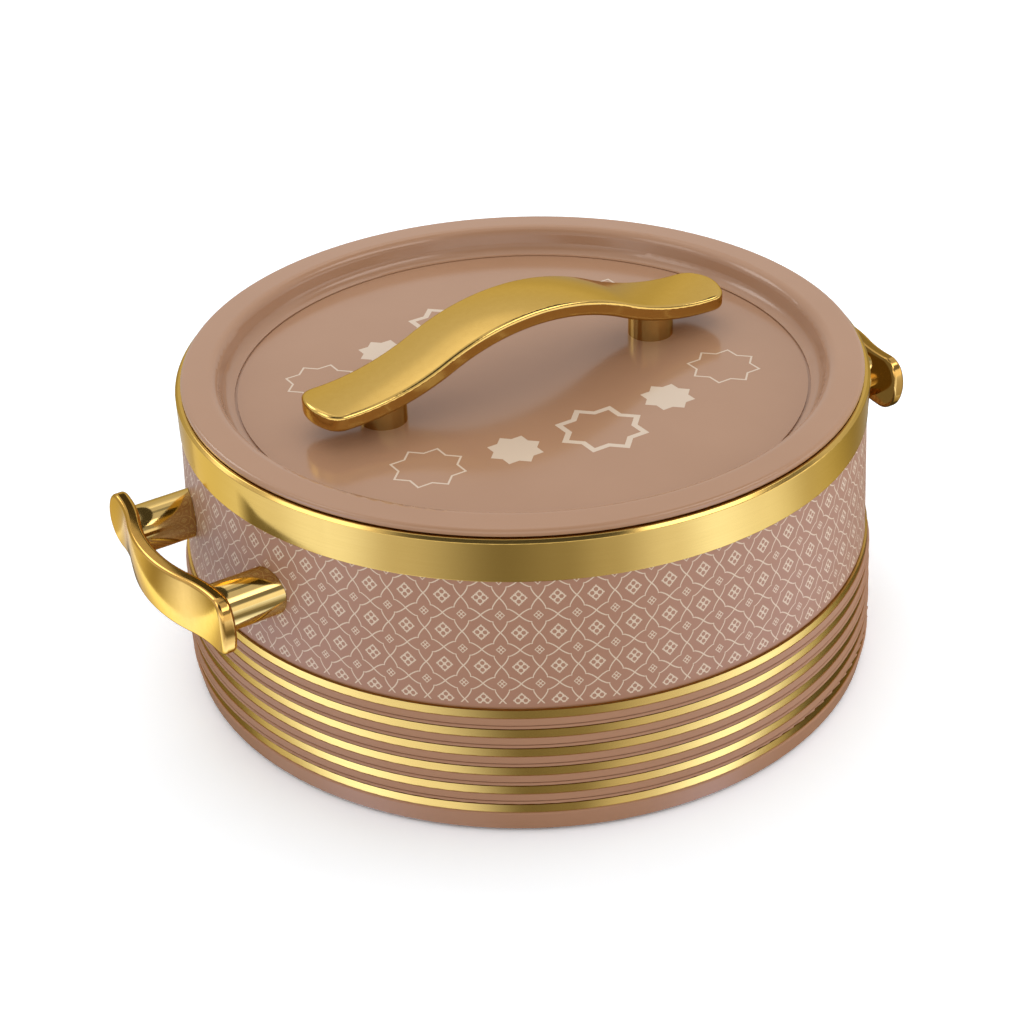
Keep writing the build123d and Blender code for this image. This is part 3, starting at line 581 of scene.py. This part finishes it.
# Satin laminate over a printed film: pale lines on a rose ground, with a weak, broad highlight.
film, tree, shader, colour_socket = moulded_abs(
    "printed_film_satin_laminated", ("#A87E68", "#A07660"), 0.42, 0.14)
axes = add(tree, "ShaderNodeSeparateXYZ", {0: add(tree, "ShaderNodeTexCoord").outputs["Object"]}).outputs
angle = add(tree, "ShaderNodeMath", {0: axes[1], 1: axes[0]}, operation="ARCTAN2")
turns = add(tree, "ShaderNodeMath", {0: angle.outputs[0], 1: REPEATS_ROUND / math.tau}, operation="MULTIPLY")
drop = add(tree, "ShaderNodeMath", {0: axes[2], 1: TOP_ROW}, operation="SUBTRACT")
rows = add(tree, "ShaderNodeMath", {0: drop.outputs[0], 1: ROW_PITCH}, operation="DIVIDE")
side = add(tree, "ShaderNodeMath", {0: turns.outputs[0], 1: 0.5}, operation="PINGPONG").outputs[0]
rise = add(tree, "ShaderNodeMath", {0: rows.outputs[0], 1: 0.5}, operation="PINGPONG").outputs[0]
far = add(tree, "ShaderNodeMath", {0: side, 1: rise}, operation="MAXIMUM").outputs[0]
near = add(tree, "ShaderNodeMath", {0: side, 1: rise}, operation="MINIMUM").outputs[0]
spread = add(tree, "ShaderNodeMath", {0: far, 1: near}, operation="SUBTRACT").outputs[0]
print("trellis of", REPEATS_ROUND, "repeats round, rows", round(ROW_PITCH / MM, 2), "mm apart")

# %% Ogee lines
LINE_HALF_WIDTH = 0.024
OGEE_BOW = 0.11
OGEE_POWER = 2.2
CUSP_REACH = 0.06
CUSP_TIP, CUSP_FOOT = 0.522, 0.5

reach = add(tree, "ShaderNodeMath", {0: side, 1: rise}, operation="ADD").outputs[0]
closeness = add(tree, "ShaderNodeMath", {0: spread, 1: -2.0, 2: 1.0}, operation="MULTIPLY_ADD")
bow = add(tree, "ShaderNodeMath", {0: closeness.outputs[0], 1: OGEE_POWER}, operation="POWER")
cusp = add(tree, "ShaderNodeMapRange", {"Value": spread, "From Max": CUSP_REACH, "To Min": CUSP_TIP,
                                        "To Max": CUSP_FOOT})
ogee = add(tree, "ShaderNodeMath", {0: bow.outputs[0], 1: OGEE_BOW, 2: cusp.outputs[0]},
           operation="MULTIPLY_ADD")
ink = add(tree, "ShaderNodeMath", {0: reach, 1: ogee.outputs[0], 2: LINE_HALF_WIDTH},
          operation="COMPARE").outputs[0]
print("ogee lines", round(2 * LINE_HALF_WIDTH * ROW_PITCH / MM, 2), "mm wide")

# %% Florets
# Each floret has its size, and the place and size of the open dot in each of its four petals.
LARGE_FLORET = (0.240, 0.102, 0.058)
SMALL_FLORET = (0.140, 0.060, 0.034)
SCALLOPS = 6
SCALLOP_DEPTH = 0.7
FLORET_BODY = 0.9
PLAIN_MARGIN = 1.6 * MM

far_half = add(tree, "ShaderNodeMath", {0: 0.5, 1: near}, operation="SUBTRACT").outputs[0]
near_half = add(tree, "ShaderNodeMath", {0: 0.5, 1: far}, operation="SUBTRACT").outputs[0]
for long_way, short_way, (size, dot_place, dot_size) in (
    (far, near, LARGE_FLORET),
    (far_half, near_half, SMALL_FLORET),
):
    outline = add(tree, "ShaderNodeMath", {0: long_way, 1: short_way}, operation="ADD")
    scallop = add(tree, "ShaderNodeMath", {0: spread, 1: size / SCALLOPS}, operation="PINGPONG")
    edge = add(tree, "ShaderNodeMath", {0: scallop.outputs[0], 1: SCALLOP_DEPTH, 2: FLORET_BODY * size},
               operation="MULTIPLY_ADD")
    floret = add(tree, "ShaderNodeMath", {0: outline.outputs[0], 1: edge.outputs[0]}, operation="LESS_THAN")
    spot = add(tree, "ShaderNodeCombineXYZ", {0: long_way, 1: short_way})
    gap = add(tree, "ShaderNodeVectorMath", {0: spot.outputs[0], 1: (dot_place, 0, 0)}, operation="DISTANCE")
    solid = add(tree, "ShaderNodeMath", {0: gap.outputs["Value"], 1: dot_size}, operation="GREATER_THAN")
    petals = add(tree, "ShaderNodeMath", {0: floret.outputs[0], 1: solid.outputs[0]}, operation="MULTIPLY")
    ink = add(tree, "ShaderNodeMath", {0: ink, 1: petals.outputs[0]}, operation="MAXIMUM").outputs[0]
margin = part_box("printed_sleeve")[0][2] + PLAIN_MARGIN
above = add(tree, "ShaderNodeMath", {0: axes[2], 1: margin}, operation="GREATER_THAN")
ink = add(tree, "ShaderNodeMath", {0: ink, 1: above.outputs[0]}, operation="MULTIPLY").outputs[0]
printed = add(tree, "ShaderNodeMix", {"Factor": ink, "A": colour_socket, "B": linear(PRINT_CREAM)},
              data_type="RGBA")
tree.links.new(printed.outputs["Result"], shader.inputs["Base Color"])
dress(film, "printed_sleeve")

# %% [markdown]
# ## Gold plating
# The rings are plated ABS, brushed as they turned: fine scratches run round the body, so a light smears into
# an upright streak. Noise stretched round the body gives the scratches, and the shader's anisotropy, laid
# across them, gives the streak. The rim band was buffed after brushing and mirrors its surroundings more
# clearly. The bars are satin, without a direction, and the posts are polished, so each takes its own
# roughness. The scratches are drawn coarser than the real ones, or they would not show at this distance.

# %% Gold
# Each gold has the colour of its smooth and of its scratched parts, and a roughness for each of them.
GOLD = ("#C5A35C", "#BE9B54")
# The side bars' gold: the same plating drawn a shade deeper, as painted shade.
SHADED_GOLD = ("#BD9450", "#B58C48")
# The posts' gold: the same plating drawn a shade paler, as painted light against the rose they mirror.
LIGHTENED_GOLD = ("#C4A668", "#BC9E5F")
GOLD_EDGE = "#FAE2AE"
SCRATCH_RANGE = (0.3, 0.7)  # where most of the noise's values lie


def gold_plate(name, grain, roughness, colours=GOLD):
    """Gold plating whose grain is given as three lengths in mm: the material, its tree and its shader."""
    material, tree, shader = new_finish(name)
    place = add(tree, "ShaderNodeTexCoord").outputs["Object"]
    scaled = add(tree, "ShaderNodeVectorMath", {0: place, 1: [1 / (length * MM) for length in grain]},
                 operation="MULTIPLY")
    scratches = add(tree, "ShaderNodeTexNoise", {"Vector": scaled.outputs[0], "Scale": 1,
                                                 "Detail": 3}).outputs[0]
    tint = add(tree, "ShaderNodeMix", {"Factor": scratches, "A": linear(colours[0]), "B": linear(colours[1])},
               data_type="RGBA")
    gloss = add(tree, "ShaderNodeMapRange", {"Value": scratches, "From Min": SCRATCH_RANGE[0],
                                             "From Max": SCRATCH_RANGE[1], "To Min": roughness[0],
                                             "To Max": roughness[1]})
    tree.links.new(tint.outputs["Result"], shader.inputs["Base Color"])
    tree.links.new(gloss.outputs[0], shader.inputs["Roughness"])
    shader.inputs["Metallic"].default_value = 1
    shader.inputs["Specular Tint"].default_value = linear(GOLD_EDGE)
    return material, tree, shader


print("gold from", *GOLD, "to", *SHADED_GOLD)

# %% Brushed rings and buffed band
ROUND_GRAIN = (30, 30, 0.5)
ACROSS_THE_GRAIN = 0.25
RINGS = [f"gold_ring_{n}" for n in range(1, 7)]

# Brushed plating smears each light into an upright streak; buffed plating shows it nearly whole.
for name, roughness, streak, pieces in (
    ("gold_plated_abs_brushed", (0.21, 0.25), 0.6, RINGS),
    ("gold_plated_abs_buffed", (0.12, 0.16), 0.3, ["rim_band"]),
):
    gold, tree, shader = gold_plate(name, ROUND_GRAIN, roughness)
    shader.inputs["Anisotropic"].default_value = streak
    shader.inputs["Anisotropic Rotation"].default_value = ACROSS_THE_GRAIN
    brush = add(tree, "ShaderNodeTangent", direction_type="RADIAL", axis="Z")
    tree.links.new(brush.outputs[0], shader.inputs["Tangent"])
    dress(gold, *pieces)

# %% Satin bars and polished posts
SATIN_GRAIN = (2.5, 2.5, 2.5)
SATIN_ROUGHNESS = (0.10, 0.13)
POLISHED_GRAIN = (4, 4, 4)
POLISHED_ROUGHNESS = (0.07, 0.10)
POSTS = ["left_front_post", "left_rear_post", "right_front_post", "right_rear_post", "lid_left_post",
         "lid_right_post"]

# Satin plating: broad, soft highlights that follow the bar's wave.
dress(gold_plate("gold_plated_abs_satin", SATIN_GRAIN, SATIN_ROUGHNESS)[0], "lid_bar")
# Painted shade: the side bars carry the lid bar's plating, drawn a shade deeper for the darker light and
# reflections at the sides.
dress(gold_plate("gold_plated_abs_satin_painted_shade", SATIN_GRAIN, SATIN_ROUGHNESS, SHADED_GOLD)[0],
      "left_bar", "right_bar")
# Polished plating, drawn a shade paler as painted light that tempers the rose brown the posts mirror; they
# mirror the wall and the bars as sharp lines.
dress(gold_plate("gold_plated_abs_polished_painted_light", POLISHED_GRAIN, POLISHED_ROUGHNESS, LIGHTENED_GOLD)[0], *POSTS)

# %% [markdown]
# ## Pot and liner
# The pot and the lid's liner are stainless steel, drawn to shape and then turned against an abrasive, which
# leaves fine rings. Noise laid along the radius and the height, and not round the axis, draws the rings on
# the floor and the wall alike; they too are coarser than the real ones.

# %% Stainless steel
TURNING_SIZE = 0.7  # mm from ring to ring
STEEL = ("#D2D1CE", "#BDBCB9")
STEEL_ROUGHNESS = (0.26, 0.42)

# Drawn and turned steel: a grey mirror, blurred by its fine rings.
turned_steel, tree, shader = new_finish("stainless_steel_drawn_turned")
axes = add(tree, "ShaderNodeSeparateXYZ", {0: add(tree, "ShaderNodeTexCoord").outputs["Object"]}).outputs
rings = add(tree, "ShaderNodeCombineXYZ", {0: reach_along_table(tree, axes), 2: axes[2]})
scratches = add(tree, "ShaderNodeTexNoise", {"Vector": rings.outputs[0], "Scale": 1 / (TURNING_SIZE * MM),
                                             "Detail": 3}).outputs[0]
gloss = add(tree, "ShaderNodeMapRange", {"Value": scratches, "From Min": SCRATCH_RANGE[0],
                                         "From Max": SCRATCH_RANGE[1], "To Min": STEEL_ROUGHNESS[0],
                                         "To Max": STEEL_ROUGHNESS[1]})
tint = add(tree, "ShaderNodeMix", {"Factor": scratches, "A": linear(STEEL[0]), "B": linear(STEEL[1])},
           data_type="RGBA")
tree.links.new(tint.outputs["Result"], shader.inputs["Base Color"])
tree.links.new(gloss.outputs[0], shader.inputs["Roughness"])
shader.inputs["Metallic"].default_value = 1
dress(turned_steel, "inner_pot", "lid_liner")

# %% [markdown]
# ## Underside and hidden pieces
# The base plate is ABS from a spark-eroded tool, so it is matt with a fine grit. The feet are rubber, the
# seal is silicone, the filling is rigid foam and the fasteners are zinc-plated steel. They show
# only from below or with the lid lifted, and still get the grain that each of them has.

# %% Matt ABS, rubber, silicone, foam and zinc
GRIT_VARIES = 0.08
GRIT_STRENGTH = 0.4


def grained(name, colours, grain, roughness, bump_depth, metallic=0):
    """A material with one grain size in mm that carries its colour, its roughness and its relief."""
    material, tree, shader = new_finish(name)
    place = add(tree, "ShaderNodeTexCoord").outputs["Object"]
    grit = add(tree, "ShaderNodeTexNoise", {"Vector": place, "Scale": 1 / (grain * MM),
                                            "Detail": 3}).outputs[0]
    tint = add(tree, "ShaderNodeMix", {"Factor": grit, "A": linear(colours[0]), "B": linear(colours[1])},
               data_type="RGBA")
    gloss = add(tree, "ShaderNodeMapRange", {"Value": grit, "To Min": roughness - GRIT_VARIES,
                                             "To Max": roughness + GRIT_VARIES})
    bump = add(tree, "ShaderNodeBump", {"Height": grit, "Strength": GRIT_STRENGTH,
                                        "Distance": bump_depth * MM})
    tree.links.new(tint.outputs["Result"], shader.inputs["Base Color"])
    tree.links.new(gloss.outputs[0], shader.inputs["Roughness"])
    tree.links.new(bump.outputs[0], shader.inputs["Normal"])
    shader.inputs["Metallic"].default_value = metallic
    return material


# Spark-eroded ABS scatters light evenly and looks dry.
dress(grained("rose_abs_matt_moulded", ("#93705C", "#866451"), 0.9, 0.55, 0.08), "base_plate")
# Moulded rubber is nearly black and dull.
dress(grained("black_rubber_moulded", ("#2E2B29", "#262321"), 1.1, 0.75, 0.08), "rubber_feet")
# Moulded silicone is a milky off-white with a soft sheen.
dress(grained("silicone_moulded", ("#DAD6CE", "#CFCAC1"), 1.5, 0.5, 0.04), "lid_seal")
# Poured foam is straw-coloured and full of fine cells.
dress(grained("polyurethane_foam_poured", ("#E8D9A8", "#D3C08A"), 1.4, 0.9, 0.3),
      "pot_insulation", "lid_insulation")
# Zinc plating is a cool grey with a faint mottle.
dress(grained("zinc_plated_steel", ("#C2C4C6", "#A5A8AB"), 1.2, 0.35, 0.02, metallic=1),
      "base_screws", "side_screws", "side_washers", "lid_screws", "lid_washers")
